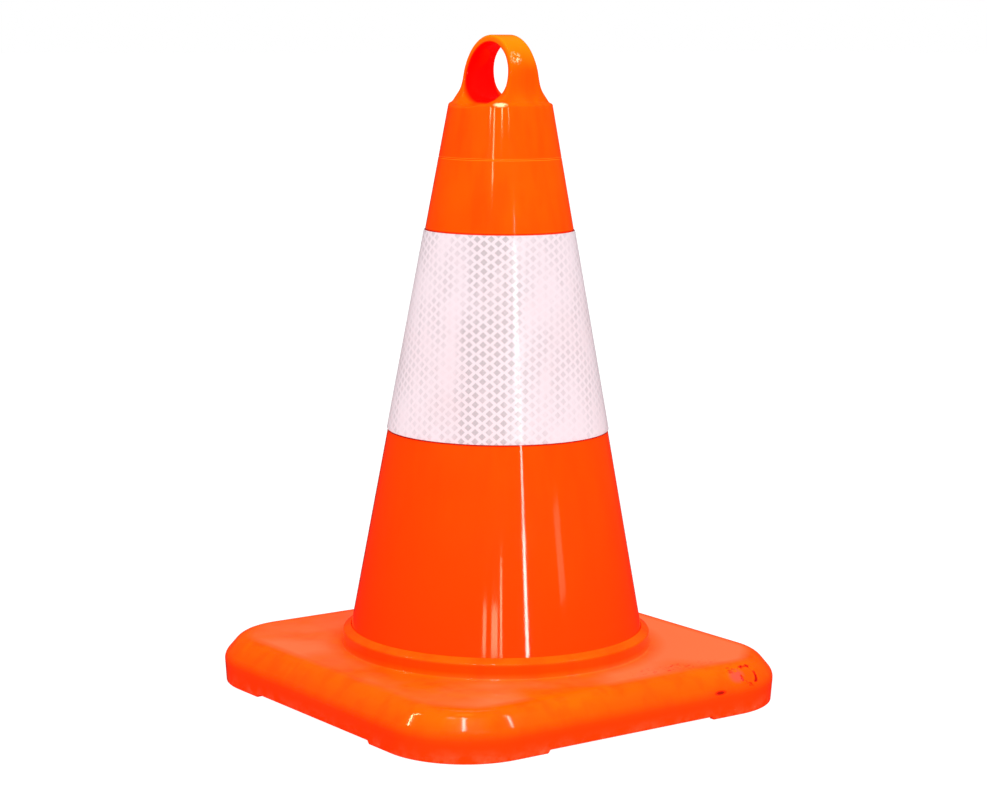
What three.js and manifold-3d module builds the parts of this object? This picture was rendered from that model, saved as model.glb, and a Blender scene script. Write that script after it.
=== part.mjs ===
// A 500 mm traffic cone: a square base with corner feet and a raised collar, a hollow conical shell
// whose foot flange snaps in under that collar, a push-in top cap with a carrying eye, and a slip-on
// reflective sleeve.
// Millimetres, +Z up, origin on the ground at the cone's axis. The base's sides lie along X and Y, and
// the carrying eye's opening runs along X.
import * as THREE from "three";
import { mergeVertices } from "three/addons/utils/BufferGeometryUtils.js";
import Module from "manifold-3d";

const wasm = await Module();
wasm.setup();

// ---- driving dimensions ----
const totalHeight = 500;
const roundSteps = 72; // facets round the axis
const assemblyGap = 0.3; // clearance between neighbouring pieces

const base = {
  halfSide: 170, // at the widest line, the top of the wall
  cornerRadius: 65,
  wallTop: 20.5,
  footInset: 1.5, // how far the wall draws in at the ground
  bevelInset: 13,
  top: 36,
  wall: 4.5,
  skin: 4,
  footLength: 95, // from the corner of the square, along each side
  footHeight: 3,
};
const collar = {
  outerRadius: 118,
  edgeHeight: 47.4,
  lipHeight: 51.5,
  wellRadius: 122, // of the ring below the collar, inside the hollow
  edgeRound: 1.6,
  footFillet: 1.5,
};
const ribs = { count: 24, thickness: 2.5, bottom: 9, clearRadius: 137.5, clearHeight: 16.5 };

const cone = {
  footRadius: 111.3, // outer radius at the collar's lip
  shoulderRadius: 39.2,
  shoulderHeight: 448,
  wall: 3,
  seamHeight: 409, // where the top cap begins
};
const flange = { radius: 132, bottom: 10, top: 13.5, edgeRound: 0.8 };
const hooks = {
  count: 8,
  startAngle: 11.25, // degrees, so that they fall between the ribs
  width: 18,
  thickness: 3.2,
  clearance: 0.8, // to the flange's edge
  reach: 3, // how far the nose stands in under the flange
  noseThickness: 1,
  bottom: 6.5,
};
const socket = {
  radius: 43.3,
  depth: 17,
  leadOut: 6, // height of the slope from the socket back to the shell's bore
  grooveDrop: 9.5, // from the seam to the groove's middle
  grooveHalfHeight: 1.5,
  grooveDepth: 0.9,
};
const stackingRibs = {
  count: 8,
  startAngle: 22.5,
  bottom: 30,
  top: 80,
  thickness: 2.4,
  reach: 7.3,
  root: 2, // how far a rib runs into the wall
};

const sleeve = { bottom: 203.5, top: 354.5, thickness: 0.6 };

const cap = {
  topHeight: 449.5,
  roofThickness: 4.5,
  spigotWall: 3,
  spigotLength: 15.7,
  spigotChamfer: 0.9,
  beadHalfHeight: 1.2,
  beadDepth: 0.7,
  ledgeRound: 2.2,
};
const eye = {
  outerHalfWidth: 30.2,
  holeHalfWidth: 25,
  holeTop: 493.6,
  holeBottom: 451,
  holeCorner: 16, // radius of the opening's lower corners
  halfDepth: 10.6, // at the crown, along X
  legHalfDepth: 14.5, // the curve's own width, a little above the foot
  footHalfDepth: 29,
  footHalfWidth: 36,
  envelopeRadius: 38.2,
  flareTop: 497, // where the legs start to deepen
  flareHeight: 13, // over which the legs widen at their feet
};
const overshoot = 60; // how far a cutting or crossing outline runs past the part on each side

// ---- small tools ----
const slope =
  (cone.footRadius - cone.shoulderRadius) / (cone.shoulderHeight - collar.lipHeight);
const coneRadius = (z) => cone.footRadius + slope * (collar.lipHeight - z);

function toSolid(geometry) {
  const bare = geometry.index ? geometry.toNonIndexed() : geometry.clone();
  for (const name of Object.keys(bare.attributes)) {
    if (name !== "position") bare.deleteAttribute(name);
  }
  const merged = mergeVertices(bare, 1e-4);
  return new wasm.Manifold(
    new wasm.Mesh({
      numProp: 3,
      vertProperties: merged.attributes.position.array,
      triVerts: new Uint32Array(merged.index.array),
    }),
  );
}

function toGeometry(solid) {
  const mesh = solid.getMesh();
  const geometry = new THREE.BufferGeometry();
  geometry.setAttribute("position", new THREE.BufferAttribute(mesh.vertProperties, 3));
  geometry.setIndex(new THREE.BufferAttribute(mesh.triVerts, 1));
  const flat = geometry.toNonIndexed();
  flat.computeVertexNormals();
  return flat;
}

// A solid of revolution about Z from [radius, height] pairs, listed anticlockwise.
function turned(profile) {
  const points = profile.map(([r, z]) => new THREE.Vector2(r, z));
  const first = points[0];
  const last = points[points.length - 1];
  if (first.x > 0 || last.x > 0) points.push(first.clone());
  return toSolid(new THREE.LatheGeometry(points, roundSteps).rotateX(Math.PI / 2));
}

function roundedSquare(halfSide, radius) {
  const flat = halfSide - radius;
  const shape = new THREE.Shape();
  const quarter = Math.PI / 2;
  shape.absarc(flat, flat, radius, 0, quarter);
  shape.absarc(-flat, flat, radius, quarter, 2 * quarter);
  shape.absarc(-flat, -flat, radius, 2 * quarter, 3 * quarter);
  shape.absarc(flat, -flat, radius, 3 * quarter, 4 * quarter);
  shape.closePath();
  return shape;
}

function block(x, y, z, cx, cy, cz) {
  return toSolid(new THREE.BoxGeometry(x, y, z).translate(cx, cy, cz));
}

// A rounded square of the given size at height from, drawn in by inset at height to.
function taperedSlab(halfSide, radius, inset, from, to) {
  const rise = Math.abs(to - from);
  const middle = 1;
  const options = {
    depth: middle,
    bevelThickness: rise,
    bevelSize: inset,
    bevelOffset: -inset,
    bevelSegments: 1,
    curveSegments: 12,
  };
  const geometry = new THREE.ExtrudeGeometry(roundedSquare(halfSide, radius), options);
  const solid = toSolid(geometry.translate(0, 0, to > from ? from - middle : from));
  return solid.intersect(block(4 * halfSide, 4 * halfSide, rise, 0, 0, (from + to) / 2));
}

// Copies a solid round the Z axis.
function around(solid, count, startDegrees = 0) {
  const copies = [];
  for (let i = 0; i < count; i++) {
    copies.push(solid.rotate([0, 0, startDegrees + (360 * i) / count]));
  }
  return wasm.Manifold.union(copies);
}

// ---- the base: outer skin, underside hollow, collar, ribs, snap hooks and corner feet ----
// The outside of the base, or that shape drawn in all round by the given inset.
function baseOutside(inset = 0) {
  const { footInset, bevelInset, wallTop, top } = base;
  const halfSide = base.halfSide - inset;
  const radius = base.cornerRadius - inset;
  const wall = taperedSlab(halfSide, radius, footInset, wallTop, 0);
  return wall.add(taperedSlab(halfSide, radius, bevelInset, wallTop, top - inset));
}

function baseHollow() {
  const { cornerRadius, footInset, bevelInset, top, wall, skin } = base;
  const halfSide = base.halfSide - wall;
  const radius = cornerRadius - wall;
  const turn = base.wallTop - 1;
  const belowGround = -1;
  const lower = taperedSlab(halfSide, radius, footInset, turn, belowGround);
  return lower.add(taperedSlab(halfSide, radius, bevelInset, turn, top - skin));
}

// The collar above the base and the well ring below it, which rests on the shell's flange.
// Its inside is cut to size by the bore.
function collarRing() {
  const { outerRadius, wellRadius, edgeHeight, lipHeight, edgeRound, footFillet } = collar;
  const inner = cone.footRadius - wellRadius + outerRadius;
  const lowest = flange.top + assemblyGap;
  return turned([
    [inner, lowest],
    [wellRadius, lowest],
    [wellRadius, base.top - base.skin / 2],
    [outerRadius + footFillet, base.top],
    [outerRadius, base.top + footFillet],
    [outerRadius, edgeHeight - edgeRound],
    [outerRadius - edgeRound, edgeHeight],
    [cone.footRadius, lipHeight],
    [inner, lipHeight],
  ]);
}

function radialRibs() {
  const top = base.top - base.skin / 2;
  const start = collar.wellRadius - ribs.thickness;
  const length = base.halfSide;
  const height = top - ribs.bottom;
  const rib = block(length, ribs.thickness, height, start + length / 2, 0, ribs.bottom + height / 2);
  const clearance = turned([
    [0, 0],
    [ribs.clearRadius, 0],
    [ribs.clearRadius, ribs.clearHeight],
    [0, ribs.clearHeight],
  ]);
  return around(rib, ribs.count).intersect(baseOutside(base.wall / 2)).subtract(clearance);
}

// Springy hooks round the flange, with noses under its edge.
function flangeHooks() {
  const inner = flange.radius + hooks.clearance;
  const outer = inner + hooks.thickness;
  const nose = inner - hooks.reach;
  const seat = flange.bottom - assemblyGap;
  const ring = turned([
    [flange.radius, hooks.bottom],
    [outer, hooks.bottom],
    [outer, base.top - base.skin / 2],
    [inner, base.top - base.skin / 2],
    [inner, seat],
    [nose, seat],
    [nose, seat - hooks.noseThickness],
  ]);
  const bar = block(outer, hooks.width, base.top, outer, 0, base.top / 2);
  return ring.intersect(around(bar, hooks.count, hooks.startAngle));
}

// The shallow cuts under the middle of each side, which leave a foot at every corner.
function edgeNotches() {
  const reach = base.halfSide - base.footLength;
  const { footHeight } = base;
  const belowGround = -1;
  const outline = new THREE.Shape();
  outline.moveTo(-reach - footHeight, belowGround);
  outline.lineTo(reach + footHeight, belowGround);
  outline.lineTo(reach + footHeight, 0);
  outline.lineTo(reach, footHeight);
  outline.lineTo(-reach, footHeight);
  outline.lineTo(-reach - footHeight, 0);
  outline.closePath();
  const depth = 4 * base.wall;
  const geometry = new THREE.ExtrudeGeometry(outline, { depth, bevelEnabled: false })
    .rotateX(Math.PI / 2)
    .translate(0, base.halfSide + base.wall, 0);
  return around(toSolid(geometry), 4);
}

function makeBase() {
  const boreTop = collar.lipHeight + base.top;
  const boreBottom = -base.wall;
  const bore = turned([
    [0, boreBottom],
    [coneRadius(boreBottom) + assemblyGap, boreBottom],
    [coneRadius(boreTop) + assemblyGap, boreTop],
    [0, boreTop],
  ]);
  return baseOutside()
    .subtract(baseHollow())
    .add(collarRing())
    .add(radialRibs())
    .add(flangeHooks())
    .subtract(bore)
    .subtract(edgeNotches());
}

// ---- the conical shell, with its foot flange, cap socket and stacking ribs ----
function makeConeShell() {
  const seam = cone.seamHeight;
  const groove = seam - socket.grooveDrop;
  const socketBottom = seam - socket.depth;
  const leadOutBottom = socketBottom - socket.leadOut;
  const inner = (z) => coneRadius(z) - cone.wall;
  const body = turned([
    [inner(flange.bottom), flange.bottom],
    [flange.radius - flange.edgeRound, flange.bottom],
    [flange.radius, flange.bottom + flange.edgeRound],
    [flange.radius, flange.top - flange.edgeRound],
    [flange.radius - flange.edgeRound, flange.top],
    [coneRadius(flange.top), flange.top],
    [coneRadius(seam), seam],
    [socket.radius, seam],
    [socket.radius, groove + socket.grooveHalfHeight],
    [socket.radius + socket.grooveDepth, groove],
    [socket.radius, groove - socket.grooveHalfHeight],
    [socket.radius, socketBottom],
    [inner(leadOutBottom), leadOutBottom],
  ]);
  const { reach, root, thickness } = stackingRibs;
  const rise = stackingRibs.top - stackingRibs.bottom;
  const middle = (stackingRibs.top + stackingRibs.bottom) / 2;
  const rib = new THREE.BoxGeometry(reach + root, thickness, rise)
    .rotateY(-Math.atan(slope))
    .translate(inner(middle) + (root - reach) / 2, 0, middle);
  return body.add(around(toSolid(rib), stackingRibs.count, stackingRibs.startAngle));
}

// ---- the reflective sleeve ----
function makeSleeve() {
  const inner = (z) => coneRadius(z) + assemblyGap;
  return turned([
    [inner(sleeve.bottom), sleeve.bottom],
    [inner(sleeve.bottom) + sleeve.thickness, sleeve.bottom],
    [inner(sleeve.top) + sleeve.thickness, sleeve.top],
    [inner(sleeve.top), sleeve.top],
  ]);
}

// ---- the top cap with its carrying eye ----
// A bar along X whose cross-section is the shape: the shape's x runs along Y and its y along Z.
function barAlongX(shape, curveSegments = 16) {
  const options = { depth: 2 * overshoot, bevelEnabled: false, curveSegments };
  const geometry = new THREE.ExtrudeGeometry(shape, options)
    .translate(0, 0, -overshoot)
    .rotateX(Math.PI / 2)
    .rotateZ(Math.PI / 2);
  return toSolid(geometry);
}

// The eye from the front: a round-topped arch whose legs spread a little at their feet.
function eyeOutline() {
  const { outerHalfWidth, footHalfWidth, flareHeight } = eye;
  const centre = totalHeight - outerHalfWidth;
  const foot = cap.topHeight - 1;
  const bend = foot + flareHeight / 4;
  const flareStart = foot + flareHeight;
  const shape = new THREE.Shape();
  shape.moveTo(-footHalfWidth, foot);
  shape.lineTo(footHalfWidth, foot);
  shape.quadraticCurveTo(outerHalfWidth, bend, outerHalfWidth, flareStart);
  shape.absarc(0, centre, outerHalfWidth, 0, Math.PI);
  shape.lineTo(-outerHalfWidth, flareStart);
  shape.quadraticCurveTo(-outerHalfWidth, bend, -footHalfWidth, foot);
  return shape;
}

// The eye from the side: a narrow crown that deepens towards the feet.
function eyeSideOutline() {
  const { halfDepth, legHalfDepth, footHalfDepth, flareTop, flareHeight } = eye;
  const foot = cap.topHeight - 1;
  const bend = foot + flareHeight / 3;
  const straightEnd = flareTop - flareHeight;
  const top = totalHeight + 1;
  const shape = new THREE.Shape();
  shape.moveTo(-footHalfDepth, foot);
  shape.lineTo(footHalfDepth, foot);
  shape.bezierCurveTo(legHalfDepth, bend, halfDepth, straightEnd, halfDepth, flareTop);
  shape.lineTo(halfDepth, top);
  shape.lineTo(-halfDepth, top);
  shape.lineTo(-halfDepth, flareTop);
  shape.bezierCurveTo(-halfDepth, straightEnd, -legHalfDepth, bend, -footHalfDepth, foot);
  return shape;
}

function eyeHole() {
  const { holeHalfWidth, holeTop, holeBottom, holeCorner } = eye;
  const side = holeHalfWidth - holeCorner;
  const low = holeBottom + holeCorner;
  const quarter = Math.PI / 2;
  const shape = new THREE.Shape();
  shape.absarc(0, holeTop - holeHalfWidth, holeHalfWidth, 0, 2 * quarter);
  shape.absarc(-side, low, holeCorner, 2 * quarter, 3 * quarter);
  shape.absarc(side, low, holeCorner, 3 * quarter, 4 * quarter);
  shape.closePath();
  return shape;
}

function makeEyeCap() {
  const start = cone.seamHeight + assemblyGap;
  const spigot = socket.radius - assemblyGap;
  const spigotBottom = start - cap.spigotLength;
  const spigotInner = spigot - cap.spigotWall;
  const ceiling = cap.topHeight - cap.roofThickness;
  const ceilingFillet = cap.ledgeRound;
  const bead = cone.seamHeight - socket.grooveDrop;
  const body = turned([
    [0, ceiling],
    [coneRadius(ceiling) - cone.wall - ceilingFillet, ceiling],
    [coneRadius(ceiling - ceilingFillet) - cone.wall, ceiling - ceilingFillet],
    [spigotInner, start + socket.leadOut],
    [spigotInner, spigotBottom],
    [spigot - cap.spigotChamfer, spigotBottom],
    [spigot, spigotBottom + cap.spigotChamfer],
    [spigot, bead - cap.beadHalfHeight],
    [spigot + cap.beadDepth, bead],
    [spigot, bead + cap.beadHalfHeight],
    [spigot, start],
    [coneRadius(start), start],
    [cone.shoulderRadius, cone.shoulderHeight],
    [cone.shoulderRadius - cap.ledgeRound, cap.topHeight],
    [0, cap.topHeight],
  ]);
  const front = barAlongX(eyeOutline());
  const side = barAlongX(eyeSideOutline(), 8).rotate([0, 0, 90]);
  const envelope = turned([
    [0, cap.topHeight - 1],
    [eye.envelopeRadius, cap.topHeight - 1],
    [eye.envelopeRadius, totalHeight + 1],
    [0, totalHeight + 1],
  ]);
  const arch = front.intersect(side).intersect(envelope);
  return body.add(arch).subtract(barAlongX(eyeHole()));
}

// ---- assembly ----
function finish(colour, roughness) {
  return new THREE.MeshStandardMaterial({ color: colour, roughness, metalness: 0 });
}
const orangePlastic = finish(0xff4d05, 0.25);
const whiteReflective = finish(0xf3eaee, 0.35);

const trafficCone = new THREE.Group();
const pieces = [
  ["base", makeBase(), orangePlastic],
  ["cone_shell", makeConeShell(), orangePlastic],
  ["eye_cap", makeEyeCap(), orangePlastic],
  ["reflective_sleeve", makeSleeve(), whiteReflective],
];
for (const [name, solid, material] of pieces) {
  const mesh = new THREE.Mesh(toGeometry(solid), material);
  mesh.name = name;
  trafficCone.add(mesh);
}

export default trafficCone;
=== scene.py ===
"""A glossy orange traffic cone with a white reflective sleeve, in a plain white studio.
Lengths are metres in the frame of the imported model: +Z up, origin on the ground under the cone's axis."""

import math

import bmesh
import bpy
import numpy as np
from mathutils import Matrix, Vector


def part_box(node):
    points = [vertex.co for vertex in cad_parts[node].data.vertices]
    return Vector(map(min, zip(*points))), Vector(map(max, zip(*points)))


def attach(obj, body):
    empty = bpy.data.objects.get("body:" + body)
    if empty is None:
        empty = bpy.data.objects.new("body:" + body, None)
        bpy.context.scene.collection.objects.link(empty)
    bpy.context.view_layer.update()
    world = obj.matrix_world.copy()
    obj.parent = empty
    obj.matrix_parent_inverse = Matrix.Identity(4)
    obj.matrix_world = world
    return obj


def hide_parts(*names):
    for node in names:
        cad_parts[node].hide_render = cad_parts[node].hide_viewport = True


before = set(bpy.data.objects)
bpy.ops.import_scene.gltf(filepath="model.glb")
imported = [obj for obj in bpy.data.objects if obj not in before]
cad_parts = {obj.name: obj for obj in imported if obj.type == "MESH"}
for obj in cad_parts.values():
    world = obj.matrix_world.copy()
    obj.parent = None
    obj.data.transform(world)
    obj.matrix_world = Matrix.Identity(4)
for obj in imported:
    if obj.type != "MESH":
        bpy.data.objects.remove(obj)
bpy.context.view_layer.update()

MM = 0.001
BODY = "cone"
SLEEVE_BODY = "sleeve"


# ---------- sizes, from the frame where it has them ----------

base_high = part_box("base")[1]
shell_low, shell_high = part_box("cone_shell")
cap_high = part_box("eye_cap")[1]
sleeve_low, sleeve_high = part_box("reflective_sleeve")

HALF_SIDE = base_high[0]
CORNER_RADIUS = 65 * MM
CORNER_REACH = (HALF_SIDE - CORNER_RADIUS) * math.sqrt(2) + CORNER_RADIUS
FOOT_INSET = 1.5 * MM
WALL_TOP = 20.5 * MM
BEVEL_INSET = 13 * MM
BASE_TOP = 36 * MM
BASE_WALL = 4.5 * MM
FOOT_HEIGHT = 2.4 * MM
NOTCH_REACH = HALF_SIDE - 95 * MM

COLLAR_RADIUS = 118 * MM
COLLAR_EDGE = 47.4 * MM
LIP = 51.5 * MM
WELL_RADIUS = 122 * MM
WELL_BOTTOM = 13.8 * MM

GAP = 0.3 * MM
FOOT_RADIUS = 111.3 * MM
SHOULDER_RADIUS = 39.2 * MM
SHOULDER = 448 * MM
SLOPE = (FOOT_RADIUS - SHOULDER_RADIUS) / (SHOULDER - LIP)
SHELL_WALL = 3 * MM
FLANGE_RADIUS = shell_high[0]
FLANGE_BOTTOM = shell_low[2]
FLANGE_TOP = FLANGE_BOTTOM + 3.5 * MM
SEAM = shell_high[2]
SOCKET_RADIUS = 43.3 * MM
SOCKET_DEPTH = 17 * MM

LEDGE = 449.5 * MM
TOP = cap_high[2]
EYE_HALF_WIDTH = 30.2 * MM
EYE_CENTRE = TOP - EYE_HALF_WIDTH
HOLE_HALF_WIDTH = 25 * MM
HOLE_CENTRE = 493.6 * MM - HOLE_HALF_WIDTH
HOLE_BOTTOM = 451 * MM
HOLE_CORNER = 16 * MM
EYE_HALF_DEPTH = 10.6 * MM


def cone_radius(z):
    """Outer radius of the cone at height z."""
    return FOOT_RADIUS + SLOPE * (LIP - z)


# ---------- mesh tools ----------


def make_object(name, vertices, faces, body, material):
    mesh = bpy.data.meshes.new(name)
    mesh.from_pydata([tuple(v) for v in vertices], [], faces)
    work = bmesh.new()
    work.from_mesh(mesh)
    bmesh.ops.recalc_face_normals(work, faces=work.faces)
    work.to_mesh(mesh)
    work.free()
    mesh.polygons.foreach_set("use_smooth", [True] * len(mesh.polygons))
    mesh.materials.append(material)
    piece = bpy.data.objects.new(name, mesh)
    bpy.context.scene.collection.objects.link(piece)
    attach(piece, body)
    return piece


def filleted(corners, steps=6, support=0.35 * MM, closed=True):
    """Points along an outline of (a, b, radius) corners: each corner becomes an arc of that radius, and
    each straight run gets a point close to both its ends, so that its shading stays flat."""
    points = []
    count = len(corners)
    for i, (a, b, radius) in enumerate(corners):
        here = Vector((a, b))
        if not closed and i in (0, count - 1):
            points.append(here)
            continue
        before = Vector(corners[i - 1][:2]) - here
        after = Vector(corners[(i + 1) % count][:2]) - here
        turn = before.angle(after)
        room = 0.45 * min(before.length, after.length)
        reach = min(radius / math.tan(turn / 2), room)
        start = here + before.normalized() * reach
        end = here + after.normalized() * reach
        arc_radius = reach * math.tan(turn / 2)
        bisector = (before.normalized() + after.normalized()).normalized()
        centre = here + bisector * math.hypot(reach, arc_radius)
        lead = min(support, room - reach) if room > reach else 0
        if lead > 0:
            points.append(start + before.normalized() * lead)
        first = (start - centre).normalized()
        last = (end - centre).normalized()
        sweep = first.angle(last)
        for k in range(steps + 1):
            t = k / steps
            blend = (first * math.sin((1 - t) * sweep) + last * math.sin(t * sweep)) / math.sin(sweep)
            points.append(centre + blend * arc_radius)
        if lead > 0:
            points.append(end + after.normalized() * lead)
    return [(p.x, p.y) for p in points]


def ring_faces(rows, columns, close_rows=True, close_columns=True):
    """Quads between consecutive rows of columns vertices each."""
    faces = []
    last_row = rows if close_rows else rows - 1
    last_column = columns if close_columns else columns - 1
    for i in range(last_row):
        for j in range(last_column):
            k = (j + 1) % columns
            n = (i + 1) % rows
            faces.append((i * columns + j, i * columns + k, n * columns + k, n * columns + j))
    return faces


def turned(profile, steps):
    """Vertices and faces of a closed (radius, height) profile turned about Z."""
    vertices = []
    for r, z in profile:
        for j in range(steps):
            angle = 2 * math.pi * j / steps
            vertices.append((r * math.cos(angle), r * math.sin(angle), z))
    return vertices, ring_faces(len(profile), steps)


def round_edges(piece, width, segments=2):
    bevel = piece.modifiers.new("rounding", "BEVEL")
    bevel.width = width
    bevel.segments = segments
    bevel.limit_method = "ANGLE"
    bevel.angle_limit = math.radians(40)
    bevel.harden_normals = True


# ---------- colours, marks and the view ----------

VIEW_YAW = 0.63471  # bearing of the photo's camera, in radians from -Y towards -X

# A painted reflection: the sleeve's cells are painted grey in one upright band that faces the camera,
# standing in for the sheeting's look from there. The band is fixed to the sleeve, but its place comes from
# the viewpoint, a failure left open.
REFLECTION_BAND_YAW = VIEW_YAW + 0.08
CELL_WIDTH = 10.4 * MM
CELL_HEIGHT = 6.74 * MM
CELL_SHARE_WIDTH = 0.27  # half a cell's share of the lattice's pitch
CELL_SHARE_HEIGHT = 0.40
FILM_WHITE = (0.89, 0.74, 0.79)
FILM_DULL_WHITE = (0.87, 0.72, 0.77)
FILM_DARK_GREY = (0.50, 0.41, 0.44)
FILM_PALE_GREY = (0.70, 0.60, 0.63)
FILM_SOIL = (0.8, 0.55, 0.55)
FILM_IOR = 1.5
PLASTIC_IOR = 1.36

DEEP_ORANGE = (0.95, 0.022, 0.0002)
PALE_ORANGE = (0.95, 0.05, 0.0002)
# Pale orange of the base's top: partly chalk, partly painted sheen.
CHALK_AND_SHEEN_ORANGE = (0.95, 0.078, 0.025)
# Painted light on the top of the eye.
PAINTED_LIGHT_ORANGE = (0.95, 0.11, 0.001)
# Painted highlight along the joint between shell and cap.
SEAM_HIGHLIGHT_ORANGE = (1.0, 0.13, 0.004)
# Painted shade inside the eye's opening.
RECESS_SHADE_RED = (0.9, 0.001, 0.0004)
# Painted shadow along the sleeve's edges.
SLEEVE_EDGE_SHADOW = (0.30, 0.006, 0.001)
DUST = (0.5, 0.1, 0.03)
SOOT = (0.20, 0.0025, 0.001)
RUBBED = (0.80, 0.032, 0.018)
PALE_FLECK = (1.0, 0.32, 0.16)
RING_CENTRE = (0.1145, -0.1635, 0.0285)
RING_RADIUS = 8 * MM
BASE_MARKS = (
    ((0.082, -0.170, 0.020), (0.007, 0.006, 0.0022), 200, 0.33, SOOT),
    ((0.103, -0.165, 0.029), (0.009, 0.010, 0.006), 130, 0.38, RUBBED),
    ((0.100, -0.161, 0.033), (0.006, 0.006, 0.003), 260, 0.47, SOOT),
    ((0.060, -0.140, 0.036), (0.050, 0.012, 0.003), 350, 0.57, SOOT),
)
# Two small pale flecks on the eye, one high on its arch and one at the ledge.
EYE_MARKS = (
    ((-0.006, -0.029, 0.485), (0.006, 0.006, 0.007), 520, 0.50, PALE_FLECK),
    ((-0.0225, -0.0306, 0.449), (0.006, 0.006, 0.002), 400, 0.40, PALE_FLECK),
)


# ---------- materials ----------


class Nodes:
    """A short way to add nodes to a material and link them."""

    def __init__(self, name):
        self.material = bpy.data.materials.new(name)
        self.material.use_nodes = True
        self.tree = self.material.node_tree
        self.shader = self.tree.nodes["Principled BSDF"]

    def add(self, kind, **settings):
        node = self.tree.nodes.new(kind)
        for key, value in settings.items():
            setattr(node, key, value)
        return node

    def link(self, source, target):
        self.tree.links.new(source, target)

    def maths(self, operation, a, b=None, clamp=False):
        node = self.tree.nodes.new("ShaderNodeMath")
        node.operation = operation
        node.use_clamp = clamp
        for socket, value in zip(node.inputs, (a, b)):
            if value is None:
                continue
            if isinstance(value, (int, float)):
                socket.default_value = value
            else:
                self.link(value, socket)
        return node.outputs[0]

    def split(self, vector):
        """The X, Y and Z of a vector, by name."""
        node = self.add("ShaderNodeSeparateXYZ")
        self.link(vector, node.inputs[0])
        return node.outputs

    def hypotenuse(self, a, b):
        squares = self.maths("ADD", self.maths("POWER", a, 2.0), self.maths("POWER", b, 2.0))
        return self.maths("SQRT", squares)

    def mapped(self, value, low, high, to_low=0.0, to_high=1.0):
        node = self.tree.nodes.new("ShaderNodeMapRange")
        self.link(value, node.inputs["Value"])
        node.inputs["From Min"].default_value = low
        node.inputs["From Max"].default_value = high
        node.inputs["To Min"].default_value = to_low
        node.inputs["To Max"].default_value = to_high
        return node.outputs["Result"]

    def mix(self, factor, a, b):
        node = self.tree.nodes.new("ShaderNodeMix")
        node.data_type = "RGBA"
        for socket, value in ((node.inputs[0], factor), (node.inputs[6], a), (node.inputs[7], b)):
            if isinstance(value, tuple):
                socket.default_value = (*value, 1)
            elif isinstance(value, (int, float)):
                socket.default_value = value
            else:
                self.link(value, socket)
        return node.outputs[2]

    def noise(self, vector, scale, detail=3.0, roughness=0.5):
        node = self.add("ShaderNodeTexNoise")
        node.inputs["Scale"].default_value = scale
        node.inputs["Detail"].default_value = detail
        node.inputs["Roughness"].default_value = roughness
        self.link(vector, node.inputs["Vector"])
        return node.outputs["Fac"]

    def stretched(self, vector, scale):
        node = self.add("ShaderNodeMapping")
        node.inputs["Scale"].default_value = scale
        self.link(vector, node.inputs["Vector"])
        return node.outputs["Vector"]

    def bump(self, height, distance, strength=1.0, normal=None):
        node = self.add("ShaderNodeBump")
        node.inputs["Distance"].default_value = distance
        node.inputs["Strength"].default_value = strength
        self.link(height, node.inputs["Height"])
        if normal is not None:
            self.link(normal, node.inputs["Normal"])
        return node.outputs["Normal"]


def distance_from(n, place, centre, size):
    """Distance from a place on the part, measured in the given lengths along X, Y and Z."""
    offset = n.add("ShaderNodeVectorMath", operation="SUBTRACT")
    n.link(place, offset.inputs[0])
    offset.inputs[1].default_value = centre
    length = n.add("ShaderNodeVectorMath", operation="LENGTH")
    n.link(n.stretched(offset.outputs[0], tuple(1 / c for c in size)), length.inputs[0])
    return length.outputs["Value"]


def spot(n, place, centre, size):
    """1 around a place on the part, falling to 0 at the given distances from it along X, Y and Z."""
    return n.mapped(distance_from(n, place, centre, size), 0.45, 1.0, 1.0, 0.0)


def scraped_ring(n, place, body):
    """The broken ring that something round left on the bevel near one corner of the base."""
    out = distance_from(n, place, RING_CENTRE, (RING_RADIUS,) * 3)
    line = n.mapped(n.maths("ABSOLUTE", n.maths("SUBTRACT", out, 1.0)), 0.10, 0.26, 1.0, 0.0)
    broken = n.mapped(n.noise(place, 150, 3, 0.6), 0.47, 0.54)
    return n.mix(n.maths("MULTIPLY", line, broken), body, SOOT)


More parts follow.
